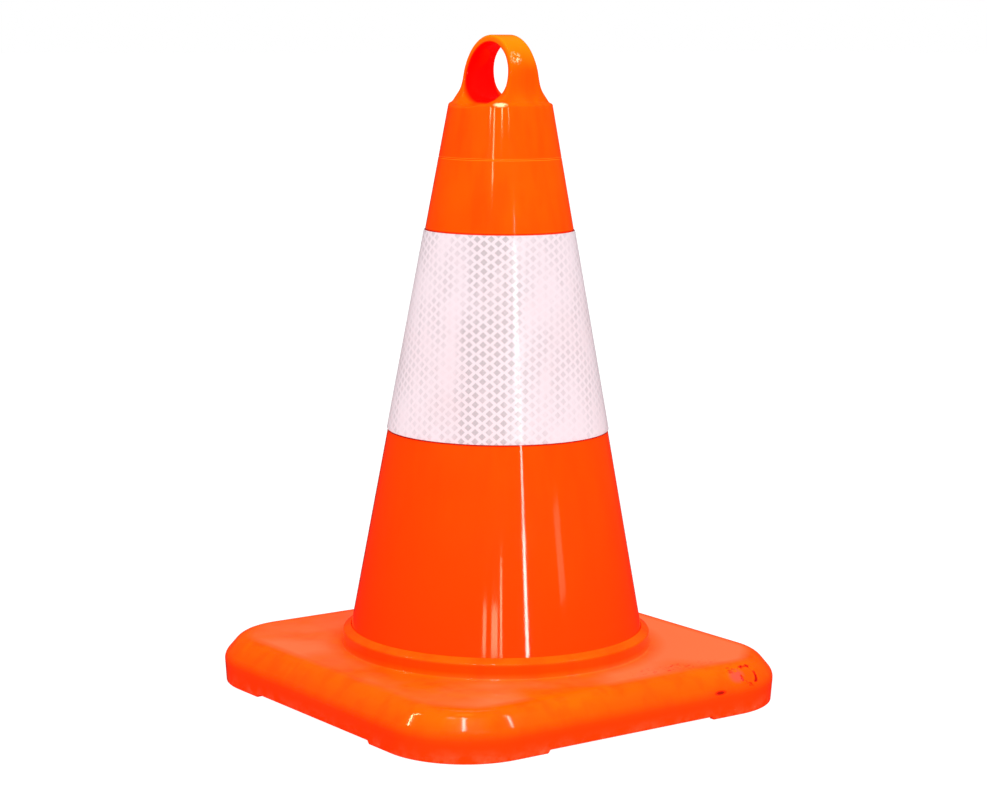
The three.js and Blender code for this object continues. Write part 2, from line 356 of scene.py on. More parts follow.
def chalk_and_sheen_top(n, place, height, body):
    """The flat top of the base, paler in clouds that leave a rim along its edge and round the collar:
    partly chalk, partly a painted sheen. And the collar's side painted deeper orange: painted shade."""
    split = n.split(place)
    x, y = split["X"], split["Y"]
    from_edge = n.maths("MAXIMUM", n.maths("ABSOLUTE", x), n.maths("ABSOLUTE", y))
    inside_edge = n.mapped(from_edge, HALF_SIDE - 25 * MM, HALF_SIDE - 16 * MM, 1.0, 0.0)
    inside_corner = n.mapped(n.hypotenuse(x, y), CORNER_REACH - 26 * MM, CORNER_REACH - 17 * MM, 1.0, 0.0)
    off_collar = n.mapped(n.hypotenuse(x, y), COLLAR_RADIUS + 2 * MM, COLLAR_RADIUS + 14 * MM, 0.25, 1.0)
    rim = n.maths("MULTIPLY", n.maths("MULTIPLY", inside_edge, inside_corner), off_collar)
    flat = n.mapped(height, BASE_TOP - 3 * MM, BASE_TOP - 0.3 * MM)
    flat = n.maths("MULTIPLY", flat, rim)
    above = n.mapped(height, BASE_TOP + MM, BASE_TOP + 4 * MM, 1.0, 0.0)
    cloud = n.mapped(n.noise(place, 11, 3, 0.45), 0.38, 0.58, 0.05, 1.0)
    # Partly chalk, partly a painted sheen on the flat top, kept off its rim.
    chalk_and_sheen_share = n.maths("MULTIPLY", n.maths("MULTIPLY", flat, above), cloud)
    # Painted shade: the collar's upright side deeper orange.
    side = n.mapped(height, BASE_TOP + 2 * MM, BASE_TOP + 5 * MM, 0.0, 0.75)
    lip = n.mapped(height, COLLAR_EDGE - 2 * MM, COLLAR_EDGE, 1.0, 0.25)
    collar_shade = n.maths("MULTIPLY", side, lip)
    return n.mix(chalk_and_sheen_share, n.mix(collar_shade, body, DEEP_ORANGE), CHALK_AND_SHEEN_ORANGE)


def marked(n, place, body, marks):
    """Small marks: (centre, size, noise scale, noise level, colour) each."""
    for centre, size, scale, level, colour in marks:
        near = spot(n, place, centre, size)
        broken = n.mapped(n.noise(place, scale, 4, 0.7), level, level + 0.05)
        body = n.mix(n.maths("MULTIPLY", near, broken, clamp=True), body, colour)
    return body


def inside_eye(n, place):
    """1 on the walls of the eye's opening: just outside its round top or its round-cornered bottom."""
    split = n.split(place)
    sideways = n.maths("ABSOLUTE", split["Y"])
    rise = n.maths("SUBTRACT", split["Z"], HOLE_CENTRE)
    upper = n.maths("MAXIMUM", rise, 0.0)
    from_middle = n.hypotenuse(upper, sideways)
    beside = n.maths("MAXIMUM", n.maths("SUBTRACT", sideways, HOLE_HALF_WIDTH - HOLE_CORNER), 0.0)
    below = n.maths("MAXIMUM", n.maths("SUBTRACT", HOLE_BOTTOM + HOLE_CORNER, split["Z"]), 0.0)
    from_corner = n.hypotenuse(beside, below)
    near_top = n.mapped(from_middle, HOLE_HALF_WIDTH + 1.2 * MM, HOLE_HALF_WIDTH + 2.2 * MM, 1.0, 0.0)
    near_bottom = n.mapped(from_corner, HOLE_CORNER + 1.2 * MM, HOLE_CORNER + 2.2 * MM, 1.0, 0.0)
    is_top = n.maths("GREATER_THAN", rise, 0.0)
    both = n.add("ShaderNodeMix")
    n.link(is_top, both.inputs[0])
    n.link(near_bottom, both.inputs[2])
    n.link(near_top, both.inputs[3])
    return both.outputs[0]


def painted_sleeve_edge_shadow(n, height, body):
    """The dark line painted on the shell along the sleeve's two edges: a painted shadow."""
    for level in (sleeve_low[2] - 0.5 * MM, sleeve_high[2] + 0.3 * MM):
        away = n.maths("ABSOLUTE", n.maths("SUBTRACT", height, level))
        body = n.mix(n.mapped(away, 0.5 * MM, 1.1 * MM, 0.85, 0.0), body, SLEEVE_EDGE_SHADOW)
    return body


def painted_seam_highlight(n, height, body):
    """A pale line painted either side of the joint between shell and cap: a painted highlight."""
    away = n.maths("ABSOLUTE", n.maths("SUBTRACT", height, SEAM + 0.5 * GAP))
    return n.mix(n.mapped(away, 0.5 * MM, 1.0 * MM, 0.5, 0.0), body, SEAM_HIGHLIGHT_ORANGE)


def orange_plastic(name, roughness, painted_light_from, painted_light_to, chalk_and_sheen=False, marks=(), eye=False, sleeve_edge_shadow=False):
    """Glossy moulded plastic: painted paler towards the top of its piece, a painted light from above,
    with flow mottling, upright runs, orange-peel, fine scratches, smudges and ground dust."""
    n = Nodes(name)
    place = n.add("ShaderNodeTexCoord").outputs["Object"]
    height = n.split(place)["Z"]
    # Painted light: deep orange low on the piece, paler orange towards its top.
    body = n.mix(n.mapped(height, painted_light_from, painted_light_to), DEEP_ORANGE, PALE_ORANGE)
    mottle = n.mapped(n.noise(place, 22, 4), 0.35, 0.65, 0.0, 0.35)
    body = n.mix(mottle, body, DEEP_ORANGE)
    runs = n.noise(n.stretched(place, (1, 1, 0.05)), 75, 4, 0.6)
    body = n.mix(n.mapped(runs, 0.45, 0.62, 0.0, 0.35), body, DEEP_ORANGE)
    if chalk_and_sheen:
        body = chalk_and_sheen_top(n, place, height, body)
        body = scraped_ring(n, place, body)
    if eye:
        # Painted light: the top of the eye paler and yellower.
        body = n.mix(n.mapped(height, 0.474, 0.502), body, PAINTED_LIGHT_ORANGE)
        # Painted shade: the walls of the eye's opening deep red.
        body = n.mix(inside_eye(n, place), body, RECESS_SHADE_RED)
    # Painted shadow of the sleeve's edges on the shell.
    if sleeve_edge_shadow:
        body = painted_sleeve_edge_shadow(n, height, body)
    # Painted highlight along the joint between shell and cap.
    body = painted_seam_highlight(n, height, body)
    body = marked(n, place, body, marks)

    dust_edge = n.mapped(height, 0.0, 0.012, 1.0, 0.0)
    dust_noise = n.mapped(n.noise(place, 90, 5, 0.7), 0.45, 0.7)
    dust = n.maths("MULTIPLY", dust_edge, dust_noise, clamp=True)
    body = n.mix(n.maths("MULTIPLY", dust, 0.3), body, DUST)

    scratch_noise = n.noise(n.stretched(place, (60, 9, 400)), 3.0, 2)
    scratch = n.mapped(scratch_noise, 0.72, 0.76)
    smudge = n.mapped(n.noise(place, 14, 5, 0.6), 0.4, 0.75, 0.0, 0.03)
    rough = n.maths("ADD", n.maths("ADD", smudge, roughness), n.maths("MULTIPLY", scratch, 0.12))
    rough = n.maths("ADD", rough, n.maths("MULTIPLY", dust, 0.3), clamp=True)

    peel = n.bump(n.noise(place, 120, 1), 0.00003, 0.12)
    relief = n.bump(scratch, 0.00002, 0.4, peel)
    n.link(body, n.shader.inputs["Base Color"])
    n.link(rough, n.shader.inputs["Roughness"])
    n.link(relief, n.shader.inputs["Normal"])
    n.shader.inputs["IOR"].default_value = PLASTIC_IOR
    return n.material


def reflective_film():
    """White prismatic sheeting: clear film welded to a white backing along a diamond lattice."""
    n = Nodes("reflective_film")
    sheet = n.add("ShaderNodeUVMap", uv_map="sheet").outputs["UV"]
    split = n.split(sheet)
    u, v = split["X"], split["Y"]
    across = n.maths("DIVIDE", u, CELL_WIDTH)
    along = n.maths("DIVIDE", v, CELL_HEIGHT)
    first = n.maths("FRACT", n.maths("ADD", across, along))
    second = n.maths("FRACT", n.maths("SUBTRACT", across, along))
    sum_of = n.maths("ABSOLUTE", n.maths("SUBTRACT", n.maths("ADD", first, second), 1.0))
    difference = n.maths("ABSOLUTE", n.maths("SUBTRACT", first, second))
    wide = n.maths("MULTIPLY", sum_of, 0.25 / CELL_SHARE_WIDTH)
    tall = n.maths("MULTIPLY", difference, 0.25 / CELL_SHARE_HEIGHT)
    edge = n.maths("ADD", wide, tall)
    cell = n.mapped(edge, 0.42, 0.55, 1.0, 0.0)

    prism = n.noise(sheet, 2600, 1)
    glint = n.mapped(prism, 0.35, 0.65)
    place = n.add("ShaderNodeTexCoord").outputs["Object"]
    patchy = n.noise(n.stretched(sheet, (1, 0.3, 1)), 70, 3, 0.6)
    facing = n.add("ShaderNodeVectorMath", operation="DOT_PRODUCT")
    radial = n.add("ShaderNodeVectorMath", operation="NORMALIZE")
    n.link(n.stretched(place, (1, 1, 0)), radial.inputs[0])
    n.link(radial.outputs[0], facing.inputs[0])
    facing.inputs[1].default_value = (-math.sin(REFLECTION_BAND_YAW), -math.cos(REFLECTION_BAND_YAW), 0)
    # Painted reflection: the cells turn grey in a band facing the camera's bearing.
    painted_reflection_band = n.mapped(facing.outputs["Value"], 0.93, 0.975, 0.0, 0.8)
    worn = n.mapped(patchy, 0.38, 0.62, 0.0, 0.55)
    band_and_worn_patches = n.maths("ADD", painted_reflection_band, worn, clamp=True)
    grey_share = n.maths("MULTIPLY", band_and_worn_patches, n.mapped(patchy, 0.3, 0.5, 0.6, 1.0))
    grey = n.mix(glint, FILM_DARK_GREY, FILM_PALE_GREY)
    cell_tone = n.mix(grey_share, FILM_DULL_WHITE, grey)
    soil = n.mapped(n.noise(place, 12, 5, 0.65), 0.48, 0.75, 0.0, 0.22)
    colour = n.mix(cell, FILM_WHITE, cell_tone)
    colour = n.mix(soil, colour, FILM_SOIL)
    n.link(colour, n.shader.inputs["Base Color"])
    uneven = n.mapped(n.noise(place, 30, 4), 0.3, 0.7, 0.38, 0.46)
    rough = n.maths("ADD", n.maths("MULTIPLY", cell, -0.1), uneven)
    n.link(rough, n.shader.inputs["Roughness"])
    pillow = n.mapped(edge, 0.25, 0.55, 1.0, 0.0)
    relief = n.bump(pillow, 0.00012, 0.8)
    relief = n.bump(prism, 0.00003, 0.4, relief)
    relief = n.bump(n.noise(place, 18, 2), 0.0006, 0.25, relief)
    n.link(relief, n.shader.inputs["Normal"])
    n.shader.inputs["IOR"].default_value = FILM_IOR
    n.shader.inputs["Coat Weight"].default_value = 0.25
    n.shader.inputs["Coat Roughness"].default_value = 0.09
    return n.material


body_plastic = orange_plastic("orange_plastic_shell", 0.045, 0.07, 0.44, sleeve_edge_shadow=True)
base_plastic = orange_plastic("orange_plastic_base", 0.08, 0.013, 0.030, chalk_and_sheen=True, marks=BASE_MARKS)
cap_plastic = orange_plastic("orange_plastic_cap", 0.045, 0.25, 0.46, marks=EYE_MARKS, eye=True)
film = reflective_film()


# ---------- the base ----------

CORNER_STEPS = 20
FLAT = HALF_SIDE - CORNER_RADIUS


def side_stops():
    """Places along one side's straight stretch, close together at the ends of the notch."""
    ramp = NOTCH_REACH + FOOT_HEIGHT
    half = [0, 0.2 * NOTCH_REACH, 0.4 * NOTCH_REACH, 0.6 * NOTCH_REACH, 0.8 * NOTCH_REACH]
    for k in range(9):
        half.append(NOTCH_REACH - 0.5 * MM + (FOOT_HEIGHT + MM) * k / 8)
    half += [ramp + 6 * MM, ramp + 14 * MM]
    return [-t for t in reversed(half[1:])] + half


def square_ring(inset, height):
    """Points round the base's outline, drawn in by inset, with the notches between the feet."""
    radius = CORNER_RADIUS - inset
    half = HALF_SIDE - inset
    points = []
    for side in range(4):
        turn = Matrix.Rotation(side * math.pi / 2, 3, "Z")
        for t in side_stops():
            rise = (NOTCH_REACH + FOOT_HEIGHT - abs(t)) / FOOT_HEIGHT
            rise = min(max(rise, 0), 1)
            lift = FOOT_HEIGHT * rise * rise * (3 - 2 * rise) * max(0, 1 - height / (3.5 * FOOT_HEIGHT))
            points.append(turn @ Vector((half, t, height + lift)))
        for k in range(CORNER_STEPS + 1):
            angle = math.pi / 2 * k / CORNER_STEPS
            x = FLAT + radius * math.cos(angle)
            y = FLAT + radius * math.sin(angle)
            points.append(turn @ Vector((x, y, height)))
    return points


def round_ring(radius, height):
    """The same count of points as square_ring, on a circle."""
    points = []
    for p in square_ring(0, 1):
        angle = math.atan2(p.y, p.x)
        points.append(Vector((radius * math.cos(angle), radius * math.sin(angle), height)))
    return points


def build_base():
    """The moulded foot: outside, collar, the well that holds the flange, and hollow underside."""
    outer = filleted(
        [
            (BASE_WALL + FOOT_INSET, 0, 0),
            (FOOT_INSET, 0, 0.9 * MM),
            (0, WALL_TOP, 10 * MM),
            (BEVEL_INSET, BASE_TOP, 15 * MM),
            (BEVEL_INSET + 18 * MM, BASE_TOP, 0),
        ],
        closed=False,
    )
    crest = filleted(
        [
            (COLLAR_RADIUS + 6 * MM, BASE_TOP, 0),
            (COLLAR_RADIUS, BASE_TOP, 1.2 * MM),
            (COLLAR_RADIUS - 0.2 * MM, COLLAR_EDGE, 1.7 * MM),
            (cone_radius(LIP) + GAP, LIP, 0.4 * MM),
            (cone_radius(WELL_BOTTOM) + GAP, WELL_BOTTOM, 0.3 * MM),
            (WELL_RADIUS, WELL_BOTTOM, 0.6 * MM),
            (WELL_RADIUS, BASE_TOP - 4 * MM, 1.5 * MM),
            (WELL_RADIUS + 4 * MM, BASE_TOP - 4 * MM, 0),
        ],
        closed=False,
    )
    inner = filleted(
        [
            (BEVEL_INSET + BASE_WALL + 6 * MM, BASE_TOP - 4 * MM, 0),
            (BEVEL_INSET + BASE_WALL - 0.5 * MM, BASE_TOP - 4 * MM, 1.5 * MM),
            (BASE_WALL, WALL_TOP - MM, 2 * MM),
            (BASE_WALL + FOOT_INSET - 0.1 * MM, 0.5 * MM, 0),
        ],
        closed=False,
    )
    rings = [square_ring(inset, z) for inset, z in outer]
    rings += [round_ring(r, z) for r, z in crest]
    rings += [square_ring(inset, z) for inset, z in inner]
    vertices = [p for ring in rings for p in ring]
    faces = ring_faces(len(rings), len(rings[0]))
    base = make_object("base_moulding", vertices, faces, BODY, base_plastic)
    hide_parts("base")
    return base


def reach(half, radius, angle):
    """Distance from the axis to a rounded square's outline in one direction."""
    a = abs(math.cos(angle))
    b = abs(math.sin(angle))
    flat = half - radius
    if max(a, b) * flat > min(a, b) * half:
        return half / max(a, b)
    along = flat * (a + b)
    return along + math.sqrt(along * along - 2 * flat * flat + radius * radius)


def build_base_ribs():
    """Radial webs under the base, between the well ring and the skirt."""
    count = 24
    thickness = 2.5 * MM
    foot = 9 * MM
    ceiling = BASE_TOP - 3.5 * MM
    vertices = []
    faces = []
    for i in range(count):
        angle = 2 * math.pi * i / count
        wall_low = reach(HALF_SIDE - BASE_WALL - 1.5 * MM, CORNER_RADIUS - BASE_WALL - 1.5 * MM, angle)
        wall_mid = reach(HALF_SIDE - BASE_WALL + 0.5 * MM, CORNER_RADIUS - BASE_WALL + 0.5 * MM, angle)
        inset = BEVEL_INSET + BASE_WALL - MM
        wall_top = reach(HALF_SIDE - inset, CORNER_RADIUS - inset, angle)
        outline = [
            (WELL_RADIUS - MM, ceiling),
            (WELL_RADIUS - MM, 16.5 * MM),
            (137.5 * MM, 16.5 * MM),
            (137.5 * MM, foot),
            (wall_low, foot),
            (wall_mid, WALL_TOP - MM),
            (wall_top, ceiling),
        ]
        turn = Matrix.Rotation(angle, 3, "Z")
        start = len(vertices)
        for side in (-0.5, 0.5):
            vertices += [turn @ Vector((r, side * thickness, z)) for r, z in outline]
        size = len(outline)
        faces.append(tuple(range(start, start + size)))
        faces.append(tuple(range(start + 2 * size - 1, start + size - 1, -1)))
        for k in range(size):
            m = (k + 1) % size
            faces.append((start + k, start + size + k, start + size + m, start + m))
    ribs = make_object("base_ribs", vertices, faces, BODY, base_plastic)
    round_edges(ribs, 0.4 * MM)
    return ribs


def sector(profile, centre, half_angle, steps):
    """Vertices and faces of a closed profile turned through a short arc, with flat ends."""
    vertices = []
    for j in range(steps + 1):
        angle = centre - half_angle + 2 * half_angle * j / steps
        vertices += [(r * math.cos(angle), r * math.sin(angle), z) for r, z in profile]
    size = len(profile)
    faces = ring_faces(steps + 1, size, close_rows=False)
    faces.append(tuple(range(size)))
    faces.append(tuple(range(steps * size + size - 1, steps * size - 1, -1)))
    return vertices, faces


def build_flange_hooks():
    """Springy hooks that snap under the shell's flange."""
    inner = FLANGE_RADIUS + 0.8 * MM
    seat = FLANGE_BOTTOM - GAP
    profile = [
        (inner - 0.8 * MM, 6.5 * MM),
        (inner + 3.2 * MM, 6.5 * MM),
        (inner + 3.2 * MM, BASE_TOP - 3.5 * MM),
        (inner, BASE_TOP - 3.5 * MM),
        (inner, seat),
        (inner - 3 * MM, seat),
        (inner - 3 * MM, seat - MM),
    ]
    vertices = []
    faces = []
    for i in range(8):
        centre = math.radians(11.25 + 45 * i)
        some, their_faces = sector(profile, centre, math.radians(3.8), 8)
        start = len(vertices)
        vertices += some
        faces += [tuple(start + k for k in face) for face in their_faces]
    hooks = make_object("flange_hooks", vertices, faces, BODY, base_plastic)
    round_edges(hooks, 0.3 * MM)
    return hooks


# ---------- the conical shell ----------


def build_shell():
    """The hollow cone with its foot flange, and the grooved socket for the cap at its top."""
    socket_bottom = SEAM - SOCKET_DEPTH
    bead = SEAM - 9.5 * MM
    profile = filleted(
        [
            (cone_radius(FLANGE_BOTTOM) - SHELL_WALL, FLANGE_BOTTOM, 0.6 * MM),
            (FLANGE_RADIUS, FLANGE_BOTTOM, 0.8 * MM),
            (FLANGE_RADIUS, FLANGE_TOP, 0.8 * MM),
            (cone_radius(FLANGE_TOP), FLANGE_TOP, 0.2 * MM),
            (cone_radius(SEAM), SEAM, 1.0 * MM),
            (SOCKET_RADIUS, SEAM, 0.3 * MM),
            (SOCKET_RADIUS, bead + 1.5 * MM, 0.5 * MM),
            (SOCKET_RADIUS + 0.9 * MM, bead, 0.4 * MM),
            (SOCKET_RADIUS, bead - 1.5 * MM, 0.5 * MM),
            (SOCKET_RADIUS, socket_bottom, 0.5 * MM),
            (cone_radius(socket_bottom - 6 * MM) - SHELL_WALL, socket_bottom - 6 * MM, 2 * MM),
        ]
    )
    vertices, faces = turned(profile, 240)
    shell = make_object("shell_moulding", vertices, faces, BODY, body_plastic)
    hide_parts("cone_shell")
    return shell


def build_stacking_ribs():
    """Fins inside the shell that keep stacked cones from jamming."""
    low, high = 30 * MM, 80 * MM
    depth = 7.3 * MM
    half = 1.2 * MM
    vertices = []
    faces = []
    for i in range(8):
        turn = Matrix.Rotation(math.radians(22.5 + 45 * i), 3, "Z")
        start = len(vertices)
        for y in (-half, half):
            for z, inside in ((low, 0), (low + 5 * MM, depth), (high - 5 * MM, depth), (high, 0)):
                wall = cone_radius(z) - SHELL_WALL
                vertices.append(turn @ Vector((wall + MM, y, z)))
                vertices.append(turn @ Vector((wall - inside - 0.2 * MM, y, z)))
        faces.append(tuple(start + k for k in (0, 1, 3, 5, 7, 6, 4, 2)))
        faces.append(tuple(start + 8 + k for k in (2, 4, 6, 7, 5, 3, 1, 0)))
        for a, b in ((0, 1), (1, 3), (3, 5), (5, 7), (7, 6), (6, 4), (4, 2), (2, 0)):
            faces.append((start + a, start + b, start + 8 + b, start + 8 + a))
    ribs = make_object("stacking_ribs", vertices, faces, BODY, body_plastic)
    round_edges(ribs, 0.4 * MM)
    return ribs


# ---------- the top cap and its carrying eye ----------

EYE_CROWN = 498 * MM
EYE_SPREAD = 7 * MM  # how far the eye's foot spreads in depth, in one long curve
EYE_FOOT_SPREAD = 11 * MM  # and again, close to the ledge
EYE_FOOT_WIDENING = 5.5 * MM
HOLE_FLARE = 0.8 * MM
HOLE_FLARE_LIMIT = 2.1


def smooth_max(a, b, radius):
    """The larger of two fields, with the crease between them rounded."""
    overlap = np.maximum(radius - np.abs(a - b), 0) / radius
    return np.maximum(a, b) + overlap * overlap * radius * 0.25


def smooth_min(a, b, radius):
    """The smaller of two fields, with the crease between them rounded."""
    return -smooth_max(-a, -b, radius)


def cap_field(x, y, z):
    """Signed distance, roughly, to the outside of the cap: negative inside."""
    across = np.sqrt(x * x + y * y)
    slant = math.cos(math.atan(SLOPE))
    wall = (across - cone_radius(z)) * slant
    body = smooth_max(wall, z - LEDGE, 1.8 * MM)

    drop = np.clip((EYE_CROWN - z) / (EYE_CROWN - LEDGE), 0, 1.1)
    half_depth = EYE_HALF_DEPTH + EYE_SPREAD * drop**1.5 + EYE_FOOT_SPREAD * drop**11
    half_width = EYE_HALF_WIDTH + EYE_FOOT_WIDENING * drop**10
    arch = np.sqrt(y * y + np.maximum(z - EYE_CENTRE, 0) ** 2) - half_width
    strap = smooth_max(arch, np.abs(x) - half_depth, 2.4 * MM)
    strap = smooth_max(strap, across - (SHOULDER_RADIUS - 2.2 * MM), 2.5 * MM)

    round_top = np.sqrt(y * y + np.maximum(z - HOLE_CENTRE, 0) ** 2) - HOLE_HALF_WIDTH
    beside = np.maximum(np.abs(y) - (HOLE_HALF_WIDTH - HOLE_CORNER), 0)
    below = np.maximum(HOLE_BOTTOM + HOLE_CORNER - z, 0)
    round_bottom = np.sqrt(beside * beside + below * below) - HOLE_CORNER
    flare = HOLE_FLARE * np.minimum(np.abs(x) / EYE_HALF_DEPTH, HOLE_FLARE_LIMIT) ** 2
    hole = flare - np.where(z > HOLE_CENTRE, round_top, round_bottom)
    solid = smooth_min(body, strap, 2 * MM)
    return smooth_max(solid, hole, 1.8 * MM)


def field_gradient(field, p):
    """The field's slope along X, Y and Z at each point."""
    step = 0.02 * MM
    grads = []
    for axis in range(3):
        offset = np.zeros(3)
        offset[axis] = step
        ahead = p + offset
        behind = p - offset
        grads.append(field(*ahead.T) - field(*behind.T))
    return np.stack(grads, 1) / (2 * step)


def settle(field, p, rounds=6):
    """Moves points on to the field's zero surface."""
    for _ in range(rounds):
        gradient = field_gradient(field, p)
        size = np.maximum((gradient**2).sum(1), 1e-6)
        p = p - (field(*p.T) / size)[:, None] * gradient
    return p


def surface_of(field, low, high, cell):
    """Quads over the field's zero surface: one vertex in each grid cell that the surface crosses."""
    counts = [int(math.ceil((b - a) / cell)) + 1 for a, b in zip(low, high)]
    axes = [a + cell * np.arange(n) for a, n in zip(low, counts)]
    grid = np.stack(np.meshgrid(*axes, indexing="ij"), -1)
    value = field(grid[..., 0], grid[..., 1], grid[..., 2])
    inside = value < 0
    total = np.zeros([n - 1 for n in counts] + [3])
    crossings = np.zeros([n - 1 for n in counts])
    quads = []
    for axis in range(3):
        here = [slice(None)] * 3
        there = [slice(None)] * 3
        here[axis] = slice(0, -1)
        there[axis] = slice(1, None)
        here, there = tuple(here), tuple(there)
        cross = inside[here] != inside[there]
        share = np.where(cross, value[here] / np.where(cross, value[here] - value[there], 1), 0)
        point = grid[here] + (grid[there] - grid[here]) * share[..., None]
        point = np.where(cross[..., None], point, 0)
        others = [a for a in range(3) if a != axis]
        for da in (0, 1):
            for db in (0, 1):
                cut = [slice(None)] * 3
                cut[others[0]] = slice(da, counts[others[0]] - 1 + da)
                cut[others[1]] = slice(db, counts[others[1]] - 1 + db)
                total += point[tuple(cut)]
                crossings += cross[tuple(cut)]
        where = np.argwhere(cross)
        keep = np.ones(len(where), bool)
        for a in others:
            keep &= (where[:, a] > 0) & (where[:, a] < counts[a] - 1)
        quads.append((others, where[keep]))
    used = crossings > 0
    index = np.full(used.shape, -1)
    index[used] = np.arange(used.sum())
    points = total[used] / crossings[used][:, None]
    faces = []
    for others, where in quads:
        corners = []
        for da, db in ((1, 1), (0, 1), (0, 0), (1, 0)):
            at = where.copy()
            at[:, others[0]] -= da
            at[:, others[1]] -= db
            corners.append(index[tuple(at.T)])
        faces.append(np.stack(corners, 1))
    return points, np.concatenate(faces)


def spigot_profile():
    """Radius and height of each ring from the cap's seam inwards: the beaded spigot, then the ceiling."""
    bottom = SEAM + GAP
    spigot = SOCKET_RADIUS - GAP
    spigot_bottom = bottom - 15.7 * MM
    bead = bottom - 9.8 * MM
    bore = spigot - 3 * MM
    ceiling = LEDGE - 4.5 * MM
    edge = cone_radius(bottom)
    return [
        (edge - 0.04 * MM, bottom + 0.04 * MM),
        (edge - 0.15 * MM, bottom),
        (spigot + 0.2 * MM, bottom),
        (spigot, bottom - 0.2 * MM),
        (spigot, bead + 1.2 * MM),
        (spigot + 0.7 * MM, bead),
        (spigot, bead - 1.2 * MM),
        (spigot, spigot_bottom + MM),
        (spigot - 0.8 * MM, spigot_bottom),
        (bore + 0.4 * MM, spigot_bottom),
        (bore, spigot_bottom + 0.4 * MM),
        (bore, bottom + 6 * MM),
        (cone_radius(ceiling) - 3.3 * MM, ceiling - 3 * MM),
        (cone_radius(ceiling) - 6 * MM, ceiling),
        (12 * MM, ceiling),
    ]


def build_cap():
    """The cap's outside as one smooth surface, cut at the seam, then carried on inwards as its spigot."""
    reach_out = cone_radius(SEAM) + 3 * MM
    cell = 0.9 * MM
    low = (-reach_out, -reach_out, SEAM - 2 * cell)
    high = (reach_out, reach_out, TOP + 2 * cell)
    points, faces = surface_of(cap_field, low, high, cell)
    points = settle(cap_field, points)

    seam = SEAM + GAP + 0.15 * MM
    mesh = bmesh.new()
    added = [mesh.verts.new(p) for p in points]
    for face in faces:
        mesh.faces.new([added[k] for k in face])
    everything = mesh.verts[:] + mesh.edges[:] + mesh.faces[:]
    cut = {"plane_co": (0, 0, seam), "plane_no": (0, 0, 1)}
    bmesh.ops.bisect_plane(mesh, geom=everything, clear_inner=True, **cut)
    loose = [v for v in mesh.verts if not v.link_faces]
    bmesh.ops.delete(mesh, geom=loose, context="VERTS")
    rim = [e for e in mesh.edges if e.is_boundary]
    for radius, height in spigot_profile():
        made = bmesh.ops.extrude_edge_only(mesh, edges=rim)["geom"]
        for v in (g for g in made if isinstance(g, bmesh.types.BMVert)):
            angle = math.atan2(v.co.y, v.co.x)
            v.co = (radius * math.cos(angle), radius * math.sin(angle), height)
        rim = [g for g in made if isinstance(g, bmesh.types.BMEdge)]
    bmesh.ops.holes_fill(mesh, edges=rim)
    mesh.verts.ensure_lookup_table()
    vertices = [v.co.copy() for v in mesh.verts]
    polygons = [tuple(v.index for v in face.verts) for face in mesh.faces]
    mesh.free()
    cap = make_object("cap_moulding", vertices, polygons, BODY, cap_plastic)
    exact_normals(cap, seam)
    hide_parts("eye_cap")
    return cap


def exact_normals(cap, seam):
    """Shades the cap's outside by the field's own normals."""
    mesh = cap.data
    own = np.array([v.normal for v in mesh.vertices])
    place = np.array([v.co for v in mesh.vertices])
    outside = place[:, 2] > seam - 0.01 * MM
    outside &= np.abs(cap_field(*place.T)) < 0.05 * MM
    gradient = field_gradient(cap_field, place[outside])
    own[outside] = gradient / np.linalg.norm(gradient, axis=1)[:, None]
    mesh.normals_split_custom_set_from_vertices([tuple(v) for v in own])


# ---------- the sleeve ----------

SEAM_ANGLE = math.radians(53)
SEAM_HALF_WIDTH = 6 * MM
SEAM_LAP = 0.35 * MM


def unroll(sleeve):
    """Lays the sleeve out flat in its UV map, in metres, so that the lattice keeps its size all round."""
    slant = math.hypot(1, SLOPE)
    turn_share = SLOPE / slant
    apex = LIP + FOOT_RADIUS / SLOPE
    layer = sleeve.data.uv_layers.new(name="sheet")
    sheet = []
    for loop in sleeve.data.loops:
        x, y, z = sleeve.data.vertices[loop.vertex_index].co
        angle = (math.atan2(y, x) - SEAM_ANGLE) % (2 * math.pi)
        sheet.append((angle, (apex - z) * slant))
    for polygon in sleeve.data.polygons:
        angles = [sheet[k][0] for k in polygon.loop_indices]
        wraps = max(angles) - min(angles) > math.pi
        for k in polygon.loop_indices:
            angle, from_apex = sheet[k]
            if wraps and angle < math.pi:
                angle += 2 * math.pi
            unrolled = (angle - math.pi) * turn_share
            layer.data[k].uv = (from_apex * math.sin(unrolled), -from_apex * math.cos(unrolled))


def build_sleeve():
    """The sleeve as a thin closed skin on the taper, a little proud where its ends are welded together."""
    low = sleeve_low[2]
    high = sleeve_high[2]
    thickness = 0.6 * MM
    steps = 360
    rows = 40
    heights = [low + (high - low) * k / rows for k in range(rows + 1)]
    profile = [(0, low + 0.0001 * MM), (thickness * 0.7, low), (thickness, low + 0.25 * MM)]
    profile += [(thickness, z) for z in heights[1:-1]]
    profile += [(thickness, high - 0.25 * MM), (thickness * 0.7, high), (0, high - 0.0001 * MM)]
    vertices = []
    for offset, z in profile:
        for j in range(steps):
            angle = 2 * math.pi * j / steps
            away = abs((angle - SEAM_ANGLE + math.pi) % (2 * math.pi) - math.pi)
            distance = away * cone_radius(z)
            lap = min(max((SEAM_HALF_WIDTH - distance) / (0.8 * MM), 0), 1)
            proud = offset + (SEAM_LAP * lap if offset > 0 else 0)
            r = cone_radius(z) + GAP + proud
            vertices.append((r * math.cos(angle), r * math.sin(angle), z))
    faces = ring_faces(len(profile), steps)
    sleeve = make_object("sleeve_sheet", vertices, faces, SLEEVE_BODY, film)
    unroll(sleeve)
    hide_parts("reflective_sleeve")
    return sleeve


# ---------- studio and camera ----------


